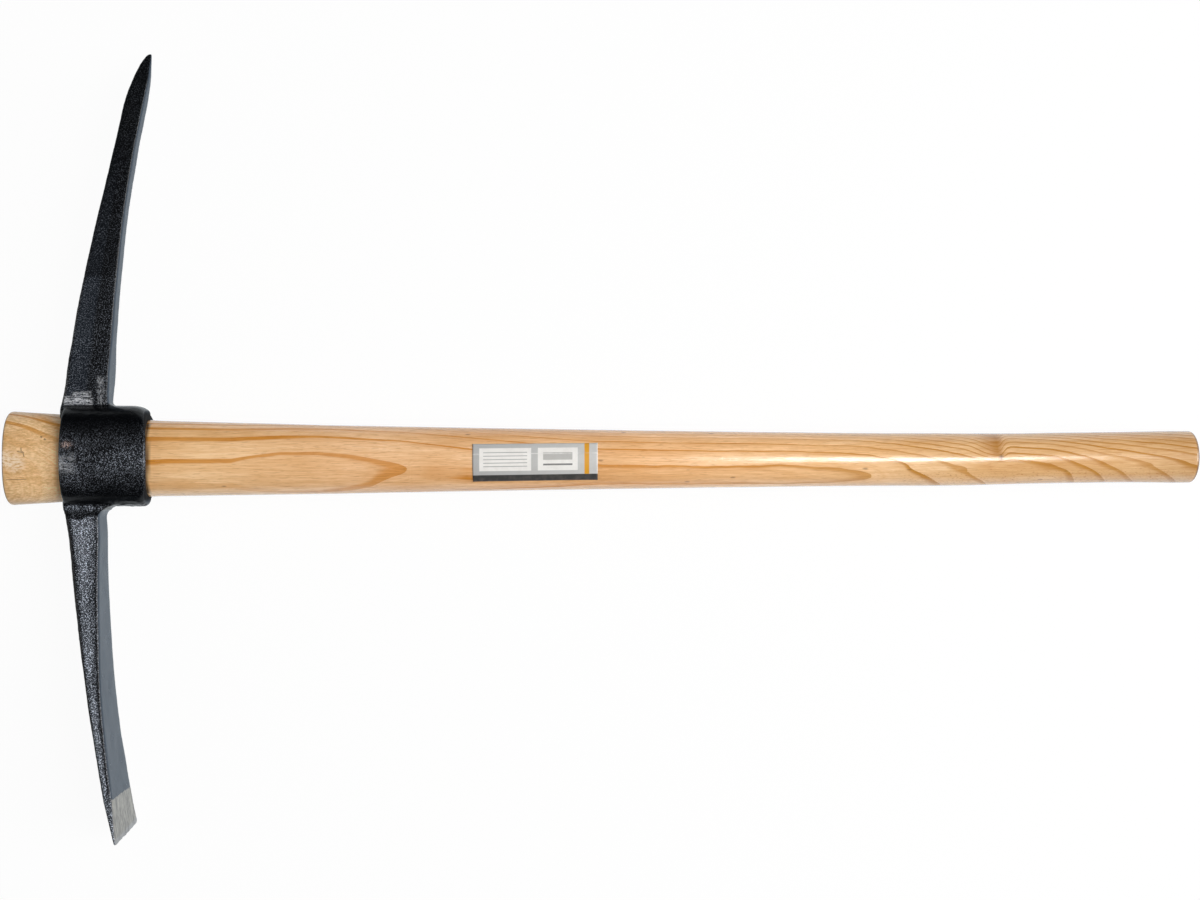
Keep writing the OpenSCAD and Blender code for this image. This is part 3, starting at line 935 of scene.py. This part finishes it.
def build_head():
    mesh = forge_blank()
    points = to_tool(read_points(mesh))
    normals = read_points(mesh, "normal")
    zone = head_zones(points, normals)
    x, y, z = points.T
    s = zone["s"]

    # Hammered unevenness, scale and the rough bead where the chisel leaves the eye
    slow = 0.32 * wavy(points, 30.0, 5.0) + 0.14 * wavy(points, 11.0, 8.0)
    scale = 0.1 * wavy(points, 3.2, 14.0) + 0.07 * wavy(points, 1.7, 17.0)
    plain = 1.0 - 0.8 * zone["inner"]
    ground = rise(s, *GROUND_RUN) * zone["chisel"]
    bead_edge = bead_line(points)
    bead = zone["chisel"] * fall(s, bead_edge - 1.2, bead_edge + 0.6)
    bead = bead * (1.0 - zone["inner"] * 0.5)
    lumps = bead * (0.55 + 0.5 * wavy(points, 2.6, 41.0))
    move = zone["outside"] * (1.0 - 0.85 * ground) * (slow + plain * scale + lumps)
    points = points + normals * move[:, None]
    points[:, 2] = np.maximum(points[:, 2], -COLLAR_SIDE)
    mesh.vertices.foreach_set("co", to_row(points).ravel())

    paint(mesh, "bare", ground_steel(points, normals, zone))
    paint(mesh, "honed_sheen", honed_sheen_edge(points, zone))
    # Painted glints and sheen for the paint's colour, with painted shade on the chisel
    paint(mesh, "painted_glints", painted_glints(points, zone))
    # Worn paint, partly painted highlights
    across, along = scuffs_and_highlights(points)
    paint(mesh, "scuff_and_highlight_across", across)
    paint(mesh, "scuff_and_highlight_along", along)
    paint(mesh, "rust", bell(x, 50.6, 3.2) * bell(y, 10.2, 2.0) * rise(z, 0.0, 5.0))
    paint(mesh, "painted_blue_sheen", painted_blue_sheen(points, zone))
    mouth_face = rise(x, EYE_END - 10.0, EYE_END - 6.0) * rise(normals[:, 0], 0.6, 0.85)
    paint(mesh, "dull", zone["eye"] * mouth_face)
    # The arms' inner faces: smoother paint, with a painted reflection of the floor in its colour
    paint(mesh, "smooth_paint_and_reflection", zone["inner"] * np.maximum(zone["pick"], zone["chisel"]))
    smooth_shade(mesh)
    return add_object("forged_head", mesh)


def ground_steel(points, normals, zone):
    """Bare steel on both faces of the cutting edge, up to a wavy paint line."""
    waves = 0.9 * wavy(points, (30.0, 30.0, 6.0), 51.0) + 0.6 * wavy(points, (20.0, 20.0, 2.2), 53.0)
    line = PAINT_LINE + waves
    faces = fall(np.abs(normals[:, 2]), 0.45, 0.7)
    return zone["chisel"] * rise(zone["s"], line - 0.4, line + 0.4) * faces


def honed_sheen_edge(points, zone):
    """A narrow band along the cutting edge: a honed bevel, painted brighter than the ground face as the
    bevel's sheen.
    """
    from_edge = CHISEL_REACH - edge_back(edge_lower(points)) + points[:, 1]
    width = HONED_SHEEN_W + 0.8 * wavy(points, (20.0, 20.0, 5.0), 57.0)
    return zone["chisel"] * fall(from_edge, width - 0.5, width + 0.5)


def across_arm(x, sides):
    """0 at an arm's outer edge and 1 at its inner edge."""
    outer, inner, _ = sides
    return (x - outer) / np.maximum(inner - outer, 1.0)


def painted_glints(points, zone):
    """How much painted glint and sheen the rough paint's colour gets: most on the chisel, less on the eye
    and the pick. The chisel also gets painted shade towards its edges, along its crease and on the bead
    beside its ridge, which gets painted highlights.
    """
    x, y, z = points.T
    s = zone["s"]
    sides = chisel_sides(s)
    across = across_arm(x, sides)
    from_crease = sides[1] - x
    # Painted shade of a rounded face: darker towards both edges and along the crease
    chisel = rise(across, 0.06, 0.36) * (1.0 - 0.5 * rise(across, 0.5, 0.85))
    chisel *= 1.0 - 0.85 * bell(from_crease, 2.0, 0.8)
    chisel = blend(chisel, 1.0, rise(s, 245.0, 262.0))
    chisel *= 0.9 + 0.5 * wavy(points, (9.0, 24.0, 9.0), 61.0)
    bead_edge = bead_line(points)
    chisel *= 0.12 + 0.88 * rise(s, bead_edge, bead_edge + 1.6)
    chisel *= 1.0 + 0.2 * bell(s, 60.0, 30.0)
    # Painted highlights on the bead's ridge
    chisel += (0.55 + 0.6 * wavy(points, (3.5, 8.0, 3.5), 29.0)) * bell(s, 37.2, 2.2)
    chisel *= zone["chisel"] * zone["broad"]

    across = across_arm(x, pick_sides(s))
    outer_half = fall(across, 0.42, 0.62)
    near = fall(s, *PICK_GLINT_END)
    pick = (0.08 + 0.07 * near + 0.03 * outer_half * near) * (1.0 - 0.5 * rise(s, 150.0, 260.0))
    pick *= zone["pick"] * zone["broad"] * (1.0 + 0.5 * wavy(points, (14.0, 22.0, 14.0), 65.0))

    # Painted glints along the top of the eye
    eye = 0.44 * zone["eye"] * rise(z, 14.0, 26.0)
    eye *= bell(y, -2.0, 17.0) * (0.8 + 0.6 * wavy(points, (16.0, 12.0, 16.0), 71.0))
    return np.clip(chisel + pick + eye, 0.0, 1.0)


def painted_blue_sheen(points, zone):
    """A painted bluish sheen on the outer half of the pick's broad sides, where its forging flats catch the
    light.
    """
    s = zone["s"]
    across = across_arm(points[:, 0], pick_sides(s))
    outer_half = window(across, 0.04, 0.14, 0.45, 0.6)
    near = 0.45 + 0.55 * fall(s, *PICK_GLINT_END)
    return zone["pick"] * zone["broad"] * outer_half * near * fall(s, 160.0, 250.0)


def scuffs_and_highlights(points):
    """Worn paint on the upper side, partly painted highlights of shiny paint, across the pick's root and
    the eye, and along the pick's crease.
    """
    x, y, z = points.T
    top = rise(z, 0.0, 4.0)

    def patch(low_x, high_x, low_y, high_y, soft):
        in_x = window(x, low_x - soft, low_x + soft, high_x - soft, high_x + soft)
        in_y = window(y, low_y - soft, low_y + soft, high_y - soft, high_y + soft)
        return in_x * in_y

    root = np.maximum(patch(41.8, 63.5, 40.5, 46.8, 0.9), 0.9 * patch(48.5, 62.5, 45.5, 50.5, 1.0))
    eye = np.maximum(0.75 * patch(43.5, 51.0, -9.0, -1.0, 1.2), 0.35 * patch(43.5, 57.0, -11.0, 3.5, 2.5))
    streak = 0.55 * patch(67.5, 73.0, 41.0, 62.0, 1.2)
    return np.maximum(root, eye) * top, streak * top


def head_material():
    material, g = new_material("black_forging")
    place = g.tool_place()
    bare = g.number("bare")
    painted_glint_share = g.number("painted_glints")
    smooth_paint_and_reflection = g.number("smooth_paint_and_reflection")

    # Gloss black paint, with small points of light and a sheen painted into its colour where its grain
    # would glint
    grain = g.noise(place, 1.1, 2.0, 0.7)
    coarse = g.noise(place, 0.4, 2.0, 0.6)
    both = g.scaled(coarse, 0.3, g.times(grain, 0.7))
    sheen_mottle = g.span(both, 0.4, 0.64, 0.05, 0.17)
    glint = g.span(g.noise(place, 1.35, 1.0), 0.56, 0.63)
    # The painted glints and sheen lift the black towards blue-white
    lift = g.scaled(sheen_mottle, painted_glint_share, glint)
    lift = g.maths("MULTIPLY", lift, painted_glint_share, clamp=True)
    # The arms' inner faces get a bluish grey painted reflection
    black = g.mix(smooth_paint_and_reflection, srgb(4, 5, 7), srgb(57, 67, 78))
    # A painted bluish sheen on the outer half of the pick's broad sides
    black = g.mix(g.number("painted_blue_sheen"), black, srgb(22, 27, 34))
    paint_colour = g.mix(lift, black, srgb(222, 231, 246))

    # Worn places show lighter primer, partly painted highlights of shiny paint, and a little rust
    across = g.span(g.stretched(place, (0.2, 1.2, 1.2), 3.0, 0.7), 0.44, 0.54)
    along = g.span(g.stretched(place, (1.3, 0.3, 1.3), 3.0, 0.7), 0.46, 0.58)
    worn_and_highlight = g.most(g.times(g.number("scuff_and_highlight_across"), across), g.times(g.number("scuff_and_highlight_along"), along))
    worn_and_highlight = g.times(worn_and_highlight, g.span(grain, 0.4, 0.56, 0.3, 1.0))
    paint_colour = g.mix(worn_and_highlight, paint_colour, srgb(208, 210, 214))
    rust = g.times(g.number("rust"), g.span(grain, 0.46, 0.58))
    paint_colour = g.mix(rust, paint_colour, srgb(206, 178, 168))

    # Ground steel, with the wheel's streaks along the arm
    streak = g.stretched(place, (0.6, 0.04, 0.6), 3.0, 0.6)
    fine = g.stretched(place, (3.0, 0.12, 3.0), 2.0, 0.6)
    steel = g.mix(g.span(streak, 0.38, 0.62), srgb(132, 130, 127), srgb(184, 180, 172))
    steel = g.mix(g.span(fine, 0.35, 0.7, 0.0, 0.45), steel, srgb(112, 111, 110))
    # The honed bevel, painted lighter as its sheen
    honed_sheen = g.times(g.number("honed_sheen"), g.span(streak, 0.35, 0.55, 0.2, 0.65))
    steel = g.mix(honed_sheen, steel, srgb(168, 169, 172))

    paint_rough = g.span(g.noise(place, 0.12, 3.0, 0.6), 0.3, 0.7, 0.16, 0.28)
    for rougher, amount in ((lift, 0.25), (worn_and_highlight, 0.25), (g.number("dull"), 0.6)):
        paint_rough = g.scaled(rougher, amount, paint_rough)
    paint_height = g.times(both, g.scaled(smooth_paint_and_reflection, -0.9, 1.0))
    height = g.mix(bare, paint_height, g.times(fine, 0.2))
    g.surface({
        "Base Color": g.mix(bare, paint_colour, steel),
        "Metallic": g.times(bare, 0.85),
        "Roughness": g.mix(bare, paint_rough, g.span(fine, 0.3, 0.7, 0.34, 0.5)),
        "Specular IOR Level": 0.15,
        "Normal": g.bump(height, 0.3, 0.4),
    })
    return material


# The film label

LABEL_COLUMNS, LABEL_ROWS = 96, 40
CORNER_LIFT, FILM_RIPPLE = 0.22, 0.03
# The label's print: colour, and sides along the label and across it, with soft edges
PRINT_SOFT = 0.12
PRINT = (
    (srgb(62, 61, 60), (-1.0, 95.0), (-1.0, 5.2)),
    (srgb(224, 158, 40), (84.0, 87.6), (5.2, 29.0)),
    (srgb(242, 239, 234), (5.0, 44.0), (8.2, 24.2)),
    (srgb(242, 239, 234), (49.0, 79.0), (8.2, 24.2)),
    (srgb(128, 128, 127), (53.0, 75.0), (11.8, 13.0)),
    (srgb(188, 186, 182), (53.0, 75.0), (15.6, 20.8)),
)
RULED_GREY, RULED_RUN = srgb(150, 149, 147), (8.0, 41.0)
RULED_COUNT, RULED_LOW, RULED_STEP, RULED_T = 5, 11.2, 2.4, 0.45
# Sides of the thin lighter streak across the label
PALE_STREAK_SIDES = (19.6, 20.4)


def build_label():
    """A thin strip of film that follows the handle, with slightly lifted corners."""
    along = np.linspace(0.0, 1.0, LABEL_COLUMNS + 1)
    around = np.linspace(0.0, 1.0, LABEL_ROWS + 1)
    u, v = np.meshgrid(along, around, indexing="ij")
    u, v = u.ravel(), v.ravel()
    x = LABEL_X + LABEL_L * u
    half_turn = LABEL_H / (half_w(x) + half_d(x))
    turn = np.radians(LABEL_TURN + LABEL_SKEW * (2.0 * u - 1.0)) + half_turn * (2.0 * v - 1.0)
    corner = (np.abs(2 * u - 1) ** 14) * (np.abs(2 * v - 1) ** 6)
    places = np.stack([x, 40.0 * v, 0.0 * v], axis=1)
    uneven = CORNER_LIFT * corner + FILM_RIPPLE * wavy(places, (16.0, 5.0, 5.0), 81.0)
    lift = GLUE_T + LABEL_T + SHAVING_HEIGHT + uneven
    points = np.stack([x, (half_w(x) + lift) * np.sin(turn), (half_d(x) + lift) * np.cos(turn)], axis=1)
    points[:, 1] += bow(x)
    faces = []
    for i in range(LABEL_COLUMNS):
        for j in range(LABEL_ROWS):
            a = i * (LABEL_ROWS + 1) + j
            b = a + LABEL_ROWS + 1
            faces.append((a, b, b + 1, a + 1))
    piece = make_object("film_label", to_row(points), faces)
    paint(piece.data, "label_u", LABEL_L * u)
    paint(piece.data, "label_v", LABEL_H * v)
    smooth_shade(piece.data)
    set_all(piece.modifiers.new("film", "SOLIDIFY"), thickness=LABEL_T * MM, offset=-1.0)
    return piece


def label_material():
    """A plain silver label: a dark foot, two white panels, one with ruled lines, and an ochre bar."""
    material, g = new_material("label_film")
    u = g.number("label_u")
    v = g.number("label_v")

    def inside(value, low, high):
        start = g.span(value, low - PRINT_SOFT, low + PRINT_SOFT)
        end = g.span(value, high + PRINT_SOFT, high - PRINT_SOFT)
        return g.times(start, end)

    def panel(under, colour, sides_u, sides_v):
        mask = g.times(inside(u, *sides_u), inside(v, *sides_v))
        return g.mix(mask, under, colour)

    place = g.tool_place()
    brushed = g.stretched(place, (0.05, 1.5, 1.5))
    sheen = g.maths("ADD", g.times(u, 0.006), g.times(brushed, 0.2))
    colour = g.mix(g.span(sheen, 0.0, 0.7), srgb(176, 176, 175), srgb(206, 205, 202))
    for printed in PRINT:
        colour = panel(colour, *printed)
    for line in range(RULED_COUNT):
        low = RULED_LOW + RULED_STEP * line
        colour = panel(colour, RULED_GREY, RULED_RUN, (low, low + RULED_T))

    # A thin lighter streak along its middle, and a little soiled
    rub = g.stretched(place, (0.12, 2.0, 2.0), 3.0, 0.7)
    line_mark = g.times(inside(v, *PALE_STREAK_SIDES), g.span(rub, 0.46, 0.58), 0.75)
    colour = g.mix(line_mark, colour, srgb(240, 238, 235))
    soil = g.span(g.noise(place, 0.18, 3.0, 0.6), 0.45, 0.75, 0.0, 0.16)
    g.surface({
        "Base Color": g.mix(soil, colour, srgb(168, 158, 146)),
        "Roughness": g.span(rub, 0.3, 0.7, 0.3, 0.5),
        "Specular IOR Level": 0.5,
        "Normal": g.bump(rub, 0.04, 0.3),
    })
    return material


# The studio, in metres, whose floor runs out into plain white

FLOOR_HALF, FLOOR_FADE = 30.0, (0.9, 2.4)
FLOOR_GREY, FLOOR_GLOSS = (0.9, 0.9, 0.9, 1.0), (0.9, 0.96, 1.0, 1.0)
# The room's light from its walls to overhead
ROOM_LOW, ROOM_HIGH, ROOM_TINT = 0.04, 0.24, (0.97, 0.99, 1.0, 1.0)
# Lamps: name, place, target, both sides and power
LAMPS = (
    ("key", (0.475, -0.01, 1.25), (0.475, -0.01, 0.0), 0.46, 0.3, 6.5),
    ("right", (3.4, 0.0, 2.2), (-0.2, 0.0, 0.0), 2.0, 3.0, 165.0),
    ("left", (-2.6, 0.0, 1.1), (-0.4, 0.0, 0.0), 1.0, 2.0, 12.0),
)
# The camera looks straight down from here; its sensor and lens are in millimetres
CAMERA_PLACE = (-0.0013, -0.0037, 1.2085)
CAMERA_SENSOR, CAMERA_LENS = 36.0, 46.335


def build_floor():
    half = FLOOR_HALF
    corners = [(-half, -half, 0.0), (half, -half, 0.0), (half, half, 0.0), (-half, half, 0.0)]
    floor = make_object("floor", corners, [(0, 1, 2, 3)])
    material, g = new_material("white_floor")
    path = g.node("LightPath")
    seen = g.maths("ADD", path.outputs["Is Camera Ray"], path.outputs["Is Glossy Ray"], clamp=True)
    seen = g.maths("ADD", seen, path.outputs["Is Transmission Ray"], clamp=True)
    plain = g.node("BsdfDiffuse", {"Color": FLOOR_GREY})
    tint = g.mix(path.outputs["Is Glossy Ray"], WHITE, FLOOR_GLOSS)
    lit = g.node("Emission", {"Color": tint, "Strength": 1.0})
    from_middle = g.node("TexCoord").outputs["Object"]
    away = g.measure("LENGTH", from_middle)
    made = g.node("MixShader", {
        0: g.times(seen, g.span(away, *FLOOR_FADE, 0.95, 1.0, smooth=True)),
        1: plain.outputs[0],
        2: lit.outputs[0],
    })
    g.finish(made)
    floor.data.materials.append(material)


def build_world():
    """A soft room that is brighter overhead, with white behind the floor's edge for the camera."""
    world = bpy.data.worlds.new("studio")
    bpy.context.scene.world = world
    world.use_nodes = True
    g = Graph(world.node_tree)
    up = g.node("SeparateXYZ", {"Vector": g.node("TexCoord").outputs["Generated"]}).outputs[2]
    level = g.span(up, 0.5, 0.97, ROOM_LOW, ROOM_HIGH)
    seen = g.node("LightPath").outputs["Is Camera Ray"]
    strength = g.most(level, seen)
    tint = g.mix(seen, ROOM_TINT, WHITE)
    sky = g.node("Background", {"Color": tint, "Strength": strength})
    g.node("OutputWorld", {"Surface": sky.outputs[0]})


def soft_lamp(name, place, target, size_x, size_y, power):
    lamp = bpy.data.lights.new(name, "AREA")
    set_all(lamp, shape="RECTANGLE", size=size_x, size_y=size_y, energy=power)
    turn = (Vector(target) - Vector(place)).to_track_quat("-Z", "Y").to_euler()
    set_all(add_object(name, lamp), location=place, rotation_euler=turn)


def build_camera():
    view = set_all(bpy.data.cameras.new("camera"), sensor_width=CAMERA_SENSOR, lens=CAMERA_LENS)
    bpy.context.scene.camera = set_all(add_object("camera", view), location=CAMERA_PLACE)


dress(build_handle(), "handle", "handle", wood_material())
dress(build_head(), "pick_head", "head", head_material())
dress(build_label(), "label", "handle", label_material())

build_floor()
build_world()
for lamp in LAMPS:
    soft_lamp(*lamp)
build_camera()
bpy.context.scene.view_settings.view_transform = "Standard"
